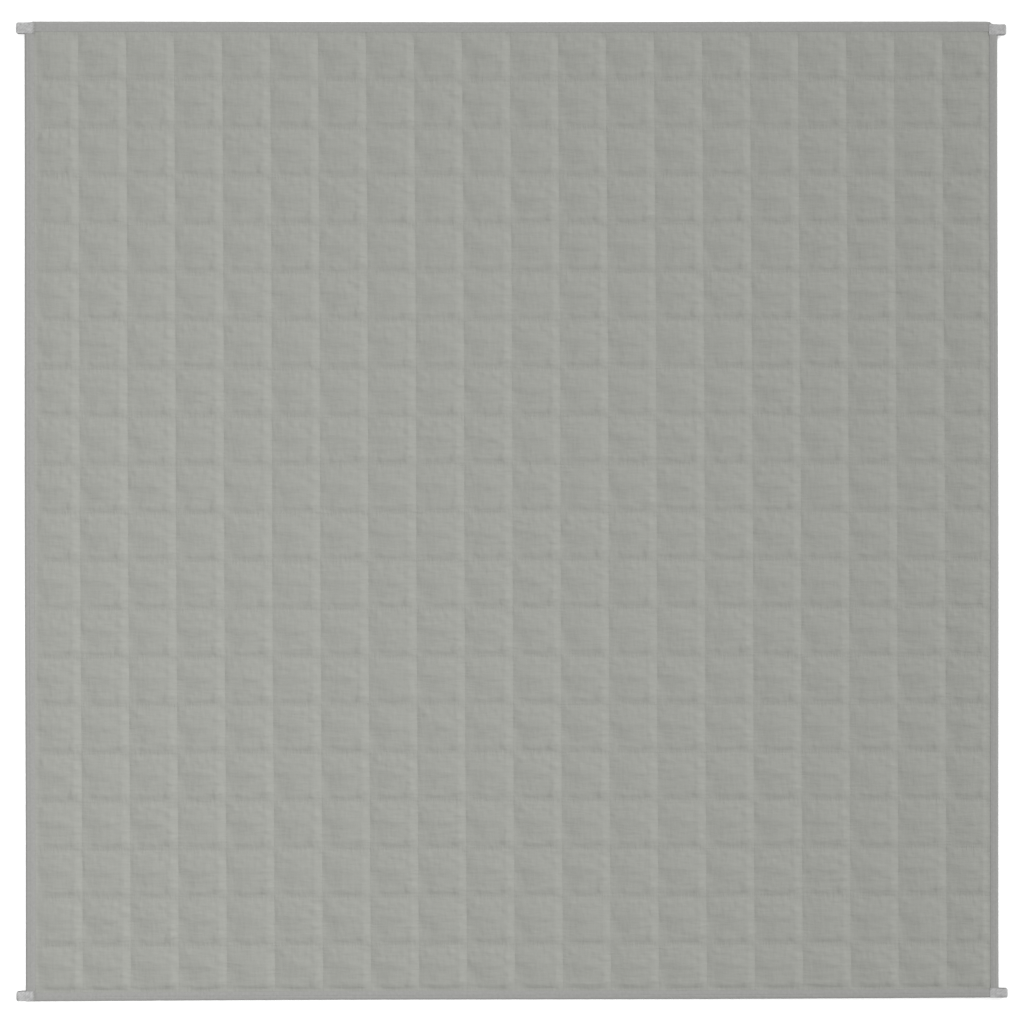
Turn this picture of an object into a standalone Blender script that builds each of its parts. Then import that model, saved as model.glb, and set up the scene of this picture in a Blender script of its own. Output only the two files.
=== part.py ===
"""A weighted blanket, spread out flat and face up.

Units are metres and +Z is up. The head edge is at +Y. The blanket lies on the floor at z = 0, and
the origin is under the middle of its bounding box.

The shape is drawn on the flat cloth first, as it was cut: x runs across it and y runs up it. The
function lie() then says where each point of that pattern lies, because the real cloth is a little
askew.
"""

import math

import bmesh
import bpy

NAME = "weighted_blanket"

# Outline of the cloth, with its binding
WIDTH = 2.000
LENGTH = 2.013  # down the left side
FOOT_RISE = 0.0075  # the right side is this much shorter, at the foot
EDGE_LEAN = 0.0028  # the side edges run this far to the right from head to foot
SEAM_LEAN = 0.0102  # the seams between the pockets run further
WANDER = 0.0006  # how far a line strays from straight

# Quilting
POCKETS = 20  # across, and also down
POCKET_WIDTH = 0.0987
POCKET_LENGTH = 0.0988
COLUMN_SHIFT = 0.0025  # all the upright seams sit this far to the right
ROW_DROP = 0.0045  # all the level seams sit this far towards the foot
SEAM_THICKNESS = 0.0028  # face cloth, batting and back cloth, stitched flat
SHOULDER_IN = 0.010  # from a seam to the shoulder of its pocket, where the steep rise ends
SHOULDER_UP = 0.0034
CROWN_IN = 0.016  # from the shoulder to the level top
CROWN_UP = 0.0060  # height of a full pocket over its seams
CROWN_SHIFT = (0.0050, -0.0025)  # the fill lies this far to the right and to the foot in each pocket
SOLE_IN = 0.013  # from a seam to the flat sole of the pocket, on the back
UNEVEN = 0.09  # how much less full the emptiest pockets are, as a share

# Tape, for the binding and the corner loops
TAPE = 0.0010  # thickness
GAP = 0.0003  # between one piece and the next
ARC_STEPS = 6  # in the half turn of a fold
BINDING_STEPS = 10  # along an edge

# Visible width of the binding on each edge
BINDING_WIDTH = {"left": 0.0200, "right": 0.0165, "top": 0.0212, "bottom": 0.0180}

# Corner loops, with the sizes in metres:
# width: of the tape, seat: how far it is sewn over the cloth, reach: how far it stands out past the
# side edge, setback: from the head or foot edge to the tape, negative where it stands past it
LOOPS = {
    "top_left": {"width": 0.0228, "seat": 0.0212, "reach": 0.0174, "setback": 0.0014},
    "top_right": {"width": 0.0245, "seat": 0.0170, "reach": 0.0178, "setback": 0.0038},
    "bottom_left": {"width": 0.0212, "seat": 0.0180, "reach": 0.0179, "setback": 0.0003},
    "bottom_right": {"width": 0.0203, "seat": 0.0178, "reach": 0.0172, "setback": -0.0008},
}
FOLD_RADIUS = 0.0030  # of a loop's fold, at the middle of the tape
LOOP_CORNER = 0.0035  # radius of the rounded corners of a loop, seen from above
LEG_STEPS = 4  # along the sloping leg of a loop

# Heights, from the floor up: loop, binding, seam, binding, loop
SEAM_LOW = 2 * (TAPE + GAP)
SEAM_HIGH = SEAM_LOW + SEAM_THICKNESS
SEAM_MIDDLE = (SEAM_LOW + SEAM_HIGH) / 2
BINDING_RADIUS = SEAM_THICKNESS / 2 + GAP + TAPE / 2  # at the middle of the tape
FOLD_IN = BINDING_RADIUS + TAPE / 2  # from the outline to the centre of the binding's fold
RIM_IN = FOLD_IN + GAP / 2  # from the outline to the body's own rim, inside the binding

HALF_WIDTH = WIDTH / 2
HALF_LENGTH = LENGTH / 2

# Colours, as seen
COLOURS = {
    "quilted_cloth": "A0A19C",
    "binding_tape": "9F9F9E",
    "loop_tape": "B0B0B0",
}
ROUGHNESS = 0.9


def linear(hex_colour):
    """The linear colour of an sRGB hex value, with alpha 1."""
    channels = [int(hex_colour[i : i + 2], 16) / 255 for i in (0, 2, 4)]
    return [c / 12.92 if c <= 0.04045 else ((c + 0.055) / 1.055) ** 2.4 for c in channels] + [1]


def lie(x, y):
    """Where the point (x, y) of the flat pattern lies on the floor."""
    down = 0.5 - y / LENGTH
    across = 0.5 + x / WIDTH
    among_seams = abs(x) < HALF_WIDTH - POCKET_WIDTH / 2
    lean = SEAM_LEAN if among_seams else EDGE_LEAN
    stray_x = WANDER * math.sin(4.1 * y + 1.7 * x)
    stray_y = WANDER * math.sin(3.7 * x - 2.3 * y + 0.8)
    return x + lean * (down - 0.5) + stray_x, y + FOOT_RISE * down * across + stray_y


def pattern_lines(pitch, half, low_binding, high_binding, shift=0.0):
    """The lines of the body's pattern, in order: rim, binding's edge, seams, binding's edge, rim."""
    seams = [(k - POCKETS / 2) * pitch + shift for k in range(1, POCKETS)]
    return [-half + RIM_IN, -half + low_binding, *seams, half - high_binding, half - RIM_IN]


def fullness(column, row):
    """How full the pocket in that column and row is, from 1 - UNEVEN to 1."""
    wave = math.sin(2.4 * column + 1.1 * row) * math.sin(1.3 * row - 0.7 * column + 0.5)
    return 1 - UNEVEN * (0.5 - 0.5 * wave)


def material(name):
    """A plain woven material in that colour."""
    made = bpy.data.materials.new(name)
    made.use_nodes = True
    shader = made.node_tree.nodes["Principled BSDF"]
    shader.inputs["Base Color"].default_value = linear(COLOURS[name])
    shader.inputs["Roughness"].default_value = ROUGHNESS
    shader.inputs["Metallic"].default_value = 0.0
    made.diffuse_color = linear(COLOURS[name])
    return made


def add_object(name, bm, made_of, collection, holder):
    """The object for a finished bmesh, with smooth shading, parented to the holder."""
    mesh = bpy.data.meshes.new(name)
    bmesh.ops.recalc_face_normals(bm, faces=bm.faces[:])
    bm.to_mesh(mesh)
    bm.free()
    mesh.materials.append(made_of)
    mesh.shade_smooth()
    part = bpy.data.objects.new(name, mesh)
    part.parent = holder
    collection.objects.link(part)
    return part


def add_tape_thickness(part):
    """Give a folded sheet the tape's thickness, half to each side."""
    solid = part.modifiers.new("tape", "SOLIDIFY")
    solid.thickness = TAPE
    solid.offset = 0.0
    solid.use_even_offset = True
    solid.use_rim = True


def quilted_body():
    """The filled body: a slab as thick as a seam, with every pocket raised out of both faces."""
    columns = pattern_lines(
        POCKET_WIDTH, HALF_WIDTH, BINDING_WIDTH["left"], BINDING_WIDTH["right"], COLUMN_SHIFT
    )
    rows = pattern_lines(
        POCKET_LENGTH, HALF_LENGTH, BINDING_WIDTH["bottom"], BINDING_WIDTH["top"], -ROW_DROP
    )
    cells = POCKETS + 2  # the pockets and the rim on both sides
    bm = bmesh.new()
    bmesh.ops.create_grid(bm, x_segments=cells, y_segments=cells, size=1)
    for vertex in bm.verts:
        column = round((vertex.co.x + 1) / 2 * cells)
        row = round((vertex.co.y + 1) / 2 * cells)
        vertex.co = (*lie(columns[column], rows[row]), SEAM_HIGH)
    bmesh.ops.solidify(bm, geom=bm.faces[:], thickness=SEAM_THICKNESS)
    bm.normal_update()

    # The face: a steep rise from the seams all round each pocket, and a gentle one to its crown.
    for face in pocket_faces(bm, up=True):
        share = fullness(*pocket_of(face))
        steps = ((SHOULDER_IN, SHOULDER_UP), (CROWN_IN, CROWN_UP - SHOULDER_UP))
        for inwards, upwards in steps:
            bmesh.ops.inset_individual(
                bm, faces=[face], thickness=inwards, depth=upwards * share
            )
        bmesh.ops.translate(bm, vec=(*CROWN_SHIFT, 0), verts=face.verts[:])

    # The back: a flat sole on the floor under each pocket.
    soles = pocket_faces(bm, up=False)
    bmesh.ops.inset_individual(bm, faces=soles, thickness=SOLE_IN, depth=SEAM_LOW)
    for sole in soles:
        for vertex in sole.verts:
            vertex.co.z = 0.0
    return bm


def pocket_faces(bm, up):
    """The slab's large faces, which become pockets, on its face or on its back."""
    half_pocket = POCKET_WIDTH * POCKET_LENGTH / 2
    large = [face for face in bm.faces if face.calc_area() > half_pocket]
    return [face for face in large if (face.normal.z > 0) == up]


def pocket_of(face):
    """The column and row of the pocket that a face lies in."""
    centre = face.calc_center_median()
    return round(centre.x / POCKET_WIDTH - 0.5), round(centre.y / POCKET_LENGTH - 0.5)


def sweep(profile_at, stations):
    """A sheet made by extruding a profile from station to station.

    profile_at(station) gives the profile's points there, each time as many.
    """
    bm = bmesh.new()
    points = [bm.verts.new(point) for point in profile_at(stations[0])]
    chain = [bm.edges.new(pair) for pair in zip(points, points[1:])]
    for station in stations[1:]:
        made = bmesh.ops.extrude_edge_only(bm, edges=chain)["geom"]
        chain = [item for item in made if isinstance(item, bmesh.types.BMEdge)]
        chain = [edge for edge in chain if not set(edge.verts) & set(points)]
        points = ordered(chain, points)
        for vertex, point in zip(points, profile_at(station)):
            vertex.co = point
    return bm


def ordered(chain, before):
    """The chain's vertices in the order of the vertices that they were extruded from."""
    new = {vertex for edge in chain for vertex in edge.verts}
    follows = {}
    for vertex in new:
        for edge in vertex.link_edges:
            other = edge.other_vert(vertex)
            if other not in new:
                follows[other] = vertex
    return [follows[vertex] for vertex in before]


def half_turn(radius, steps):
    """Points (out, up) of a half circle about its centre, from its top round to its foot."""
    angles = [math.pi / 2 - math.pi * i / steps for i in range(steps + 1)]
    return [(radius * math.cos(a), radius * math.sin(a)) for a in angles]


def binding_profile(width):
    """Points (inwards from the outline, height) of a binding, from its upper layer round to its lower."""
    fold = half_turn(BINDING_RADIUS, ARC_STEPS)
    turn = [(FOLD_IN - out, SEAM_MIDDLE + up) for out, up in fold]
    inner = width - GAP
    return [(inner, turn[0][1]), *turn, (inner, turn[-1][1])]


def binding(side):
    """The folded tape along one edge. The head and foot bindings end at the side bindings."""
    profile = binding_profile(BINDING_WIDTH[side])
    upright = side in ("left", "right")
    sign = 1 if side in ("right", "top") else -1
    if upright:
        start, end = -HALF_LENGTH, HALF_LENGTH
    else:
        start = -HALF_WIDTH + BINDING_WIDTH["left"]
        end = HALF_WIDTH - BINDING_WIDTH["right"]

    def profile_at(along):
        if upright:
            return [(*lie(sign * (HALF_WIDTH - inwards), along), up) for inwards, up in profile]
        return [(*lie(along, sign * (HALF_LENGTH - inwards)), up) for inwards, up in profile]

    stations = [start + (end - start) * i / BINDING_STEPS for i in range(BINDING_STEPS + 1)]
    return sweep(profile_at, stations)


def loop_profile(seat, reach):
    """Points (out from the side edge, height) of a corner loop's tape, from its upper end to its lower.

    The tape is sewn over the binding, slopes down outside it to the fold, and comes back along the
    floor under the binding.
    """
    high = SEAM_MIDDLE + BINDING_RADIUS + TAPE + GAP
    low = TAPE / 2
    fold_centre = reach - FOLD_RADIUS - TAPE / 2
    fold_top = low + 2 * FOLD_RADIUS
    turn = half_turn(FOLD_RADIUS, ARC_STEPS)
    points = [(-seat, high)]
    for i in range(LEG_STEPS):
        share = i / LEG_STEPS
        ease = share * share * (3 - 2 * share)
        points.append((fold_centre * share, high + (fold_top - high) * ease))
    points += [(fold_centre + out, low + FOLD_RADIUS + up) for out, up in turn]
    points += [(0.0, low), (-seat, low)]
    return points


def corner_loop(corner):
    """The tape of one corner loop, about the point of the side edge that its middle crosses."""
    size = LOOPS[corner]
    profile = loop_profile(size["seat"], size["reach"])
    square = size["reach"] - TAPE / 2 - LOOP_CORNER  # past here the corners are rounded

    def half_width(out):
        past = min(max(out - square, 0.0), LOOP_CORNER)
        drawn_in = LOOP_CORNER - math.sqrt(LOOP_CORNER**2 - past**2)
        return size["width"] / 2 - drawn_in

    def profile_at(share):
        return [(out, share * half_width(out), up) for out, up in profile]

    return sweep(profile_at, [-1, 0, 1])


def place_corner_loop(part, corner):
    """Put a loop at its corner, facing out over the side edge."""
    size = LOOPS[corner]
    head = corner.startswith("top")
    right = corner.endswith("right")
    inwards = size["setback"] + size["width"] / 2
    y = HALF_LENGTH - inwards if head else inwards - HALF_LENGTH
    x = HALF_WIDTH if right else -HALF_WIDTH
    part.location = (*lie(x, y), 0)
    part.rotation_euler = (0, 0, 0 if right else math.pi)


def centre_on_origin(parts, holder):
    """Move the holder so that the middle of all the parts' bounding box is over the origin."""
    bpy.context.view_layer.update()
    depsgraph = bpy.context.evaluated_depsgraph_get()
    points = []
    for part in parts:
        shape = part.evaluated_get(depsgraph)
        points += [shape.matrix_world @ vertex.co for vertex in shape.data.vertices]
    for axis in (0, 1):
        values = [point[axis] for point in points]
        holder.location[axis] = -(min(values) + max(values)) / 2


def main():
    for old in list(bpy.data.objects):
        bpy.data.objects.remove(old, do_unlink=True)
    collection = bpy.data.collections.new(NAME)
    bpy.context.scene.collection.children.link(collection)
    holder = bpy.data.objects.new("blanket_frame", None)
    collection.objects.link(holder)

    cloth = material("quilted_cloth")
    binding_tape = material("binding_tape")
    loop_tape = material("loop_tape")

    parts = [add_object("quilted_body", quilted_body(), cloth, collection, holder)]
    for side in BINDING_WIDTH:
        part = add_object("binding_" + side, binding(side), binding_tape, collection, holder)
        add_tape_thickness(part)
        parts.append(part)
    for corner in LOOPS:
        part = add_object(
            "corner_loop_" + corner, corner_loop(corner), loop_tape, collection, holder
        )
        add_tape_thickness(part)
        place_corner_loop(part, corner)
        parts.append(part)
    centre_on_origin(parts, holder)


if __name__ == "__main__":
    main()
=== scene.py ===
"""A square weighted blanket, laid out flat: a filled body quilted into pockets, taped edges and a
tape loop at each corner, with the floor, the lights and the camera to look at it from above."""

import math

import bpy
import numpy as np
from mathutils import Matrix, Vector


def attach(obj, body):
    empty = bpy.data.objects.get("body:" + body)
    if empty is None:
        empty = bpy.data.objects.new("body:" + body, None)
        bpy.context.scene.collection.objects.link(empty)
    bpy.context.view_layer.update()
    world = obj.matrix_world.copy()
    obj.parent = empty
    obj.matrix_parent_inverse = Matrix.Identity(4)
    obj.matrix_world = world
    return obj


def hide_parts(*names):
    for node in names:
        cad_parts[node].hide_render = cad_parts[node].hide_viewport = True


bl_info = {
    "name": "Weighted Blanket",
    "version": (1, 0, 0),
    "blender": (4, 5, 0),
    "location": "View3D > Sidebar > Blanket",
    "description": "Makes a square quilted weighted blanket with taped edges and corner loops",
    "category": "Object",
}

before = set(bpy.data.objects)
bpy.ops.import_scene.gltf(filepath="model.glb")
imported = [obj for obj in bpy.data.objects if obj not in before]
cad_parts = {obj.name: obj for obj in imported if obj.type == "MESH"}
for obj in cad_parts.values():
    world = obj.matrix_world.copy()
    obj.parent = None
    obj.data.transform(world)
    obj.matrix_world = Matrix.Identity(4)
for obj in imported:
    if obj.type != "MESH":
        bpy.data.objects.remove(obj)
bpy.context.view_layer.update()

# Sizes in metres, as the solids have them
WIDTH = 2.000
LENGTH = 2.013
POCKETS = 20
POCKET_WIDTH = 0.0987
POCKET_LENGTH = 0.0988
COLUMN_SHIFT = 0.0025  # all the upright seams sit this far to the right
ROW_DROP = 0.0045  # all the level seams sit this far towards the foot
FOOT_RISE = 0.0075  # the foot edge rises to the right
EDGE_LEAN = 0.0028  # how far a side edge goes to the right from head to foot
SEAM_LEAN = 0.0102  # and how far an upright seam does
WANDER = 0.0006  # how far the edges and the seams stray from straight lines
# How far a loop draws an upper corner down, and from and up to which distance from the side edge
DRAWN = {"left": (0.0018, 0.0200, 0.0080), "right": (0.0055, 0.0185, 0.0095)}
DRAWN_LENGTH = 0.024  # from the head edge
BINDING_WIDTH = {"left": 0.0200, "right": 0.0165, "top": 0.0212, "bottom": 0.0180}
PLACE = (0.000095, -0.000141)  # puts the middle of the whole outline over the origin

# Heights in metres, from the floor up: loop, binding, seam, binding, loop. TAPE is the thickness of
# a tape in the solids
TAPE = 0.0010
GAP = 0.0003
SEAM_THICKNESS = 0.0028
SEAM_LOW = 2 * (TAPE + GAP)
SEAM_HIGH = SEAM_LOW + SEAM_THICKNESS
SEAM_MIDDLE = (SEAM_LOW + SEAM_HIGH) / 2
FOLD_RADIUS = SEAM_THICKNESS / 2 + GAP + TAPE / 2  # of a binding round the rim
FOLD_IN = FOLD_RADIUS + TAPE / 2
RIM_IN = FOLD_IN + GAP / 2

CLOTH_STEPS = 25  # frames of the simulation
ROUGHNESS = 0.0003  # of the cloth at its start
FULL_HEIGHT = 0.0078  # of the fullest pocket over its seams
SLOPE = 0.012  # over which an outer pocket goes down to its binding
TUCK = 0.0005  # how far under its binding the cloth has gone down
TUCK_DOWN = 0.0004  # and how far down
LIFT = 0.0008  # how far the cloth comes up to a binding's edge, away from the loops
LIFT_REACH = 0.005
LIFT_FROM = (0.0065, 0.0125)  # where that starts and is full, from the other binding at a corner

TAPE_THICKNESS = 0.0005  # of one layer of a binding
BINDING_STATIONS = 260  # quads along a binding
LOOP_STATIONS = 20  # and across a loop
LOOP_THICKNESS = 0.0005
FOLD_REACH = 0.0048  # how far from the outline a binding turns over the rim
CREST = 0.52  # where a binding is highest, as a share of its width
EDGE_CLEAR = 0.0004  # between a binding's sewn edge and the seam under it
GROOVE_IN = 0.0082  # from the outline to the stitches of a binding
GROOVE_DEPTH = 0.00035
GROOVE_WIDTH = 0.0009
RIPPLE_UP = 0.00012
RIPPLE_IN = 0.00015
LOOSE = 0.006  # from a binding's sewn edge to where it ripples fully

# Where a pocket's cloth is divided, as shares of its width from the left and of its length from the
# foot. One subdivision halves each step
COLUMN_STEPS = (0.0, 0.07, 0.20, 0.37, 0.56, 0.74, 0.88)
ROW_STEPS = (0.0, 0.07, 0.16, 0.32, 0.50, 0.68, 0.86)
BACK_STEPS = (0.0, 0.05, 0.13, 0.87, 0.95)

# How the sewing and the use of the blanket lift a pocket's cloth. Each mark has its place rightwards
# and down, half its length and half its width, as shares of a pocket, its turn in degrees and its
# height in metres
MARKS = (
    # Gathers of the right seam
    (0.86, 0.09, 0.12, 0.08, 0, 0.0003),
    (0.85, 0.28, 0.14, 0.14, 0, 0.0012),
    (0.86, 0.61, 0.12, 0.09, 0, 0.0008),
    (0.86, 0.77, 0.14, 0.12, 0, 0.0011),
    # Gathers of the foot seam
    (0.30, 0.85, 0.13, 0.11, 0, 0.0007),
    (0.47, 0.86, 0.13, 0.10, 0, 0.0003),
    (0.79, 0.85, 0.10, 0.11, 0, 0.0009),
    # Gathers of the head seam
    (0.18, 0.14, 0.12, 0.10, 20, 0.0009),
    (0.47, 0.14, 0.14, 0.10, 0, 0.0006),
    (0.66, 0.14, 0.11, 0.10, 0, 0.0007),
    # Soft folds in the middle
    (0.20, 0.37, 0.25, 0.11, 20, 0.0007),
    (0.62, 0.42, 0.30, 0.13, 8, 0.0010),
    (0.16, 0.85, 0.18, 0.07, 20, 0.0003),
    (0.50, 0.64, 0.42, 0.07, 8, 0.0003),
    (0.38, 0.27, 0.08, 0.12, 0, 0.0004),
    (0.38, 0.76, 0.08, 0.10, 0, 0.0004),
)

CREASE_DEPTH = 0.0012
MARK_STRAY = 0.012  # how far a mark strays rightwards from pocket to pocket
MARK_STRAY_DOWN = 0.008

LOOPS = {
    "top_left": {"width": 0.0226, "seat": 0.0212, "reach": 0.0174, "setback": 0.0013},
    "top_right": {"width": 0.0213, "seat": 0.0172, "reach": 0.0186, "setback": 0.0044},
    "bottom_left": {"width": 0.0200, "seat": 0.0180, "reach": 0.0195, "setback": 0.0009},
    "bottom_right": {"width": 0.0192, "seat": 0.0178, "reach": 0.0188, "setback": -0.0001},
}
EYE_RADIUS = 0.0030  # of the open eye of a loop
PRESSED = 0.78  # how much of its height a binding keeps under a loop
PRESSED_MORE = 0.0010  # how far past the loop a side binding is pressed
PRESSED_END = 0.0025  # and how far from its ends a head or foot binding is
PRESSED_EASE = 0.005  # from there to its full height
LOOP_CLEAR = 0.0001  # between a loop and the binding under it
LOOP_CORNER = 0.0035  # radius of a loop's outer corners, seen from above
LOOP_CROWN = 0.0006  # of its upper layer
LOOP_CROWN_EASE = 0.008  # from its inner end to its full crown
WAVE_PERIOD = 0.314  # metres between the bands of a wave texture whose scale is 1
# A tape's colour is painted darker below the first height and full above the second: painted shade
# where it turns over the rim and, on a loop, down to the floor
PAINTED_SHADE_BELOW = SEAM_MIDDLE + 0.0009  # a tape is darker down here, where it turns over the rim
UNSHADED_ABOVE = SEAM_MIDDLE + FOLD_RADIUS + 0.0001
SEWN_AT = 0.970  # how far left of the middle a left loop is sewn on
SEWN_REACH = (0.018, 0.010)  # from there, where its sewn colour starts and where it is full

FLOOR_SIZE = 240
FLOOR_DROP = 0.0004  # keeps the floor clear of the soles
VIEW_SHIFT = (0.0009, -0.0010)  # how far the camera stands off the middle of the outline
VIEW_HEIGHT = 0.006  # at which the view width is measured


class BlanketCloth(bpy.types.PropertyGroup):
    """How the quilted body is filled and sewn."""

    crown: bpy.props.FloatProperty(
        name="Crown",
        description="Height of a full pocket over the seams beside it, before it is blown up",
        default=0.0047,
        min=0.0,
        max=0.02,
        subtype="DISTANCE",
        unit="LENGTH",
    )
    slack: bpy.props.FloatProperty(
        name="Slack",
        description="How much longer the cloth of a pocket is than its first shape",
        default=0.004,
        min=0.0,
        max=0.05,
        subtype="FACTOR",
    )
    swell: bpy.props.FloatProperty(
        name="Swell",
        description="The most that the fill may push the cloth up from its first shape",
        default=0.0006,
        min=0.0,
        max=0.01,
        subtype="DISTANCE",
        unit="LENGTH",
    )
    row_depth: bpy.props.FloatProperty(
        name="Level Seam Depth",
        description="Depth of the level seams, as a share of that of the upright ones",
        default=0.66,
        min=0.0,
        max=1.0,
        subtype="FACTOR",
    )
    uneven: bpy.props.FloatProperty(
        name="Unevenness",
        description="How much less fill the emptiest pocket has",
        default=0.08,
        min=0.0,
        max=0.5,
        subtype="FACTOR",
    )
    puckers: bpy.props.FloatProperty(
        name="Puckers",
        description="How strongly the seams gather the cloth",
        default=1.0,
        min=0.0,
        max=3.0,
        subtype="FACTOR",
    )
    colour: bpy.props.StringProperty(
        name="Cloth Colour", description="sRGB hex colour of the cloth", default="8C8D88"
    )


class BlanketTapes(bpy.types.PropertyGroup):
    """The tapes of the edges and of the corner loops."""

    arch: bpy.props.FloatProperty(
        name="Arch",
        description="How far a binding is crowned over the rim that it wraps",
        default=0.0003,
        min=0.0,
        max=0.004,
        subtype="DISTANCE",
        unit="LENGTH",
    )
    binding_colour: bpy.props.StringProperty(
        name="Binding Colour", description="sRGB hex colour of the edge tape", default="8C8C8A"
    )
    loop_colour: bpy.props.StringProperty(
        name="Loop Colour", description="sRGB hex colour of the corner loops", default="A3A3A3"
    )


class BlanketStage(bpy.types.PropertyGroup):
    """The floor, the lights and the camera."""

    view_width: bpy.props.FloatProperty(
        name="View Width",
        description="Width of floor that the camera sees at the height of the cloth",
        default=2.1040,
        min=0.5,
        subtype="DISTANCE",
        unit="LENGTH",
    )
    lens: bpy.props.FloatProperty(
        name="Lens",
        description="Focal length of the camera",
        default=70.0,
        min=20.0,
        subtype="DISTANCE_CAMERA",
    )
    floor_colour: bpy.props.StringProperty(
        name="Floor Colour", description="sRGB hex colour of the floor", default="FBFBFB"
    )
    sky: bpy.props.FloatProperty(
        name="Sky", description="Brightness of the even light from all round", default=0.545, min=0.0
    )
    overhead: bpy.props.FloatProperty(
        name="Overhead Light",
        description="Power of the broad light above",
        default=96.0,
        min=0.0,
        unit="POWER",
    )
    key: bpy.props.FloatProperty(
        name="Key Light",
        description="Strength of the low light from the upper right",
        default=2.90,
        min=0.0,
    )


# --- small helpers ---------------------------------------------------------------------------


def linear(hex_colour):
    """The linear colour of an sRGB hex value, with alpha 1."""
    channels = [int(hex_colour[i : i + 2], 16) / 255 for i in (0, 2, 4)]
    return [c / 12.92 if c <= 0.04045 else ((c + 0.055) / 1.055) ** 2.4 for c in channels] + [1]


def deselect_all():
    """Nothing is selected, so that an operator acts on the new primitive alone."""
    if bpy.context.object and bpy.context.object.mode != "OBJECT":
        bpy.ops.object.mode_set(mode="OBJECT")
    bpy.ops.object.select_all(action="DESELECT")


def select_only(piece):
    """Selects the piece alone and makes it the active one."""
    deselect_all()
    piece.select_set(True)
    bpy.context.view_layer.objects.active = piece


def points_of(piece):
    """The piece's points as an array of x, y, z."""
    flat = np.empty(len(piece.data.vertices) * 3)
    piece.data.vertices.foreach_get("co", flat)
    return flat.reshape(-1, 3)


def move_points(piece, points):
    """Puts the piece's points where the array has them."""
    piece.data.vertices.foreach_set("co", np.ascontiguousarray(points, float).ravel())
    piece.data.update()


def grid(name, columns, rows):
    """A flat sheet of columns by rows quads, 2 m wide about the origin, ready to be laid out."""
    deselect_all()
    bpy.ops.mesh.primitive_grid_add(x_subdivisions=columns, y_subdivisions=rows, size=2)
    sheet = bpy.context.object
    sheet.name = sheet.data.name = name
    return sheet


def apply_modifier(piece, modifier):
    """Applies one modifier of the piece."""
    select_only(piece)
    bpy.ops.object.modifier_apply(modifier=modifier.name)


def face_outwards():
    """Turns all faces of the piece in edit mode outwards, and leaves edit mode."""
    bpy.ops.mesh.select_all(action="SELECT")
    bpy.ops.mesh.normals_make_consistent(inside=False)
    bpy.ops.object.mode_set(mode="OBJECT")


def smooth_step(value, start, end):
    """0 before start, 1 after end and an easy curve between."""
    share = np.clip((value - start) / (end - start), 0, 1)
    return share * share * (3 - 2 * share)


def lie(x, y):
    """Where the points (x, y) of the flat pattern lie on the floor."""
    down = 0.5 - y / LENGTH
    across = 0.5 + x / WIDTH
    lean = np.where(np.abs(x) < WIDTH / 2 - POCKET_WIDTH / 2, SEAM_LEAN, EDGE_LEAN)
    stray_x = WANDER * np.sin(4.1 * y + 1.7 * x)
    stray_y = WANDER * np.sin(3.7 * x - 2.3 * y + 0.8)
    laid_x = x + lean * (down - 0.5) + stray_x + PLACE[0]
    laid_y = y + FOOT_RISE * down * across + stray_y + PLACE[1]
    near_head = smooth_step(y, LENGTH / 2 - DRAWN_LENGTH, LENGTH / 2)
    for side, sign in (("right", 1), ("left", -1)):
        down_by, start, end = DRAWN[side]
        near_side = smooth_step(sign * x, WIDTH / 2 - start, WIDTH / 2 - end)
        laid_y = laid_y - down_by * near_head * near_side
    return laid_x, laid_y


def ripple(along, phase):
    """A smooth, never repeating wave from -1 to 1 along a tape, in metres along it."""
    waves = ((0.0170, 0.0), (0.0290, 1.3), (0.0530, 2.9), (0.0910, 4.1))
    swings = [np.sin(2 * math.pi * along / length + shift * phase + phase) for length, shift in waves]
    return sum(swings) / len(waves)


# --- materials -------------------------------------------------------------------------------


def add_node(tree, kind, inputs=None, **settings):
    """One node with its settings. An input takes a number or a colour, or another node's output."""
    node = tree.nodes.new(kind)
    for name, value in settings.items():
        setattr(node, name, value)
    for name, value in (inputs or {}).items():
        if isinstance(value, bpy.types.NodeSocket):
            tree.links.new(value, node.inputs[name])
        else:
            node.inputs[name].default_value = value
    return node


def start_material(name):
    """An empty material with its tree, its shader and its output."""
    material = bpy.data.materials.new(name)
    material.use_nodes = True
    tree = material.node_tree
    tree.nodes.clear()
    shader = add_node(tree, "ShaderNodeBsdfPrincipled")
    add_node(tree, "ShaderNodeOutputMaterial", {"Surface": shader.outputs["BSDF"]})
    return material, tree, shader


def shade_of(colour, share):
    """The colour made lighter or darker by a share."""
    return [channel * share for channel in colour[:3]] + [1]


def weigh(tree, *parts):
    """The sum of some outputs, each times its weight."""
    total = 0.0
    for output, weight in parts:
        step = add_node(
            tree, "ShaderNodeMath", {0: output, 1: weight, 2: total}, operation="MULTIPLY_ADD"
        )
        total = step.outputs[0]
    return total


def yarn_noise(tree, place, size, detail):
    """Noise whose marks are size (across, along) in metres."""
    stretched = add_node(
        tree, "ShaderNodeMapping", {"Vector": place, "Scale": (1 / size[0], 1 / size[1], 1)}
    )
    noise = add_node(
        tree,
        "ShaderNodeTexNoise",
        {"Vector": stretched.outputs["Vector"], "Scale": 1.0, "Detail": detail, "Roughness": 0.55},
    )
    return noise.outputs["Fac"]


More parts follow.
